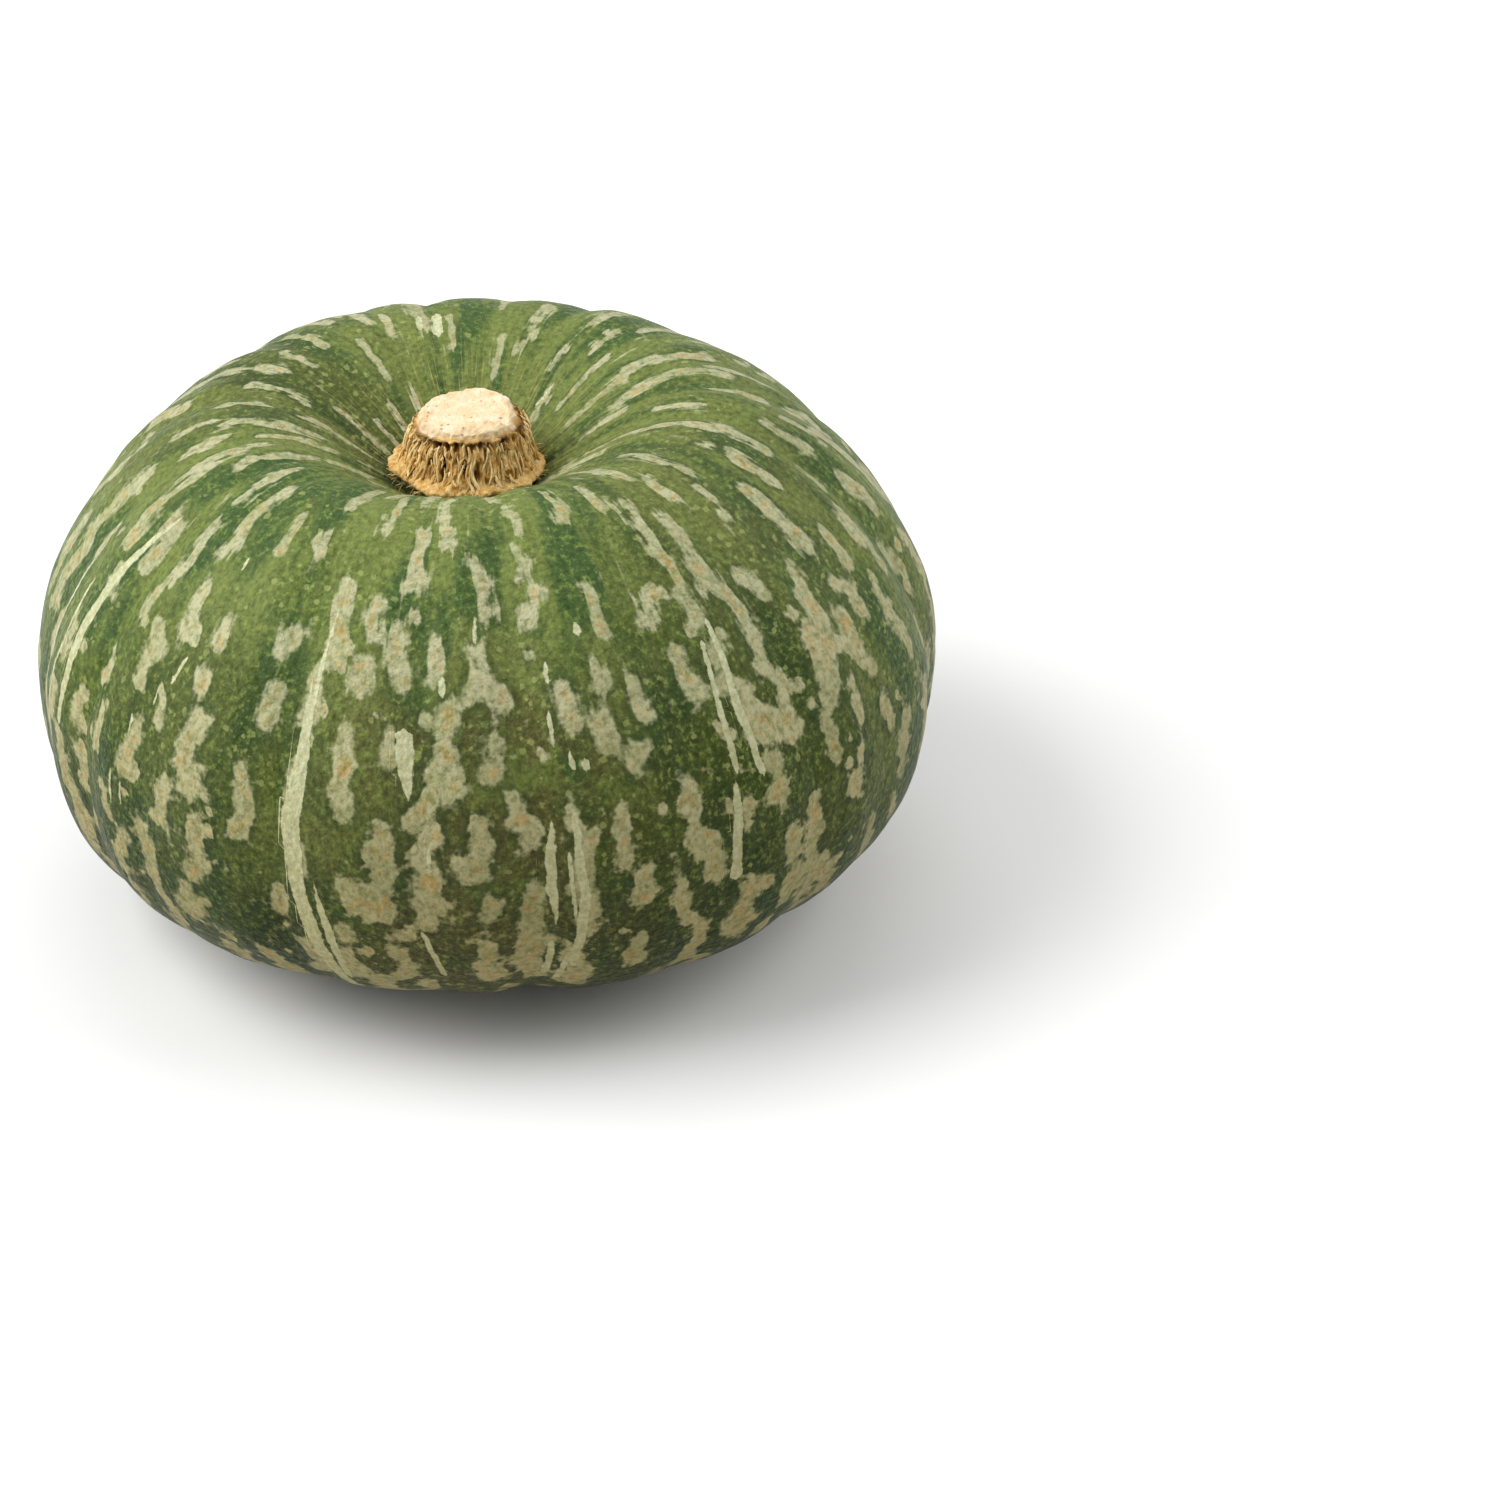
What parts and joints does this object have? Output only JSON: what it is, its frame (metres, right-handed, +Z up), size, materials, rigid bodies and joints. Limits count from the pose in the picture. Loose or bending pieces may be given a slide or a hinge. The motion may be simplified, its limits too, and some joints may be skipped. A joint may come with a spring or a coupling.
{
  "type": "kabocha squash",
  "caption": "Whole kabocha squash: a flattened round green fruit with shallow lobes and a short corky stem in a funnel at the top, resting on its base as produce or as a prop.",
  "frame": {"origin": "middle of the base, on the surface the squash rests on: the middle of the bounding box's bottom face", "axes": "+Z up, from the blossom end to the stem; the front faces -Y; +X to the right seen from the front"},
  "size_m": [0.201, 0.1982, 0.1151],
  "materials": {
    "rind": "satin",
    "cork": "matte"
  },
  "bodies": {
    "root": {"fruit": "rind", "stem": "cork"}
  },
  "joints": []
}
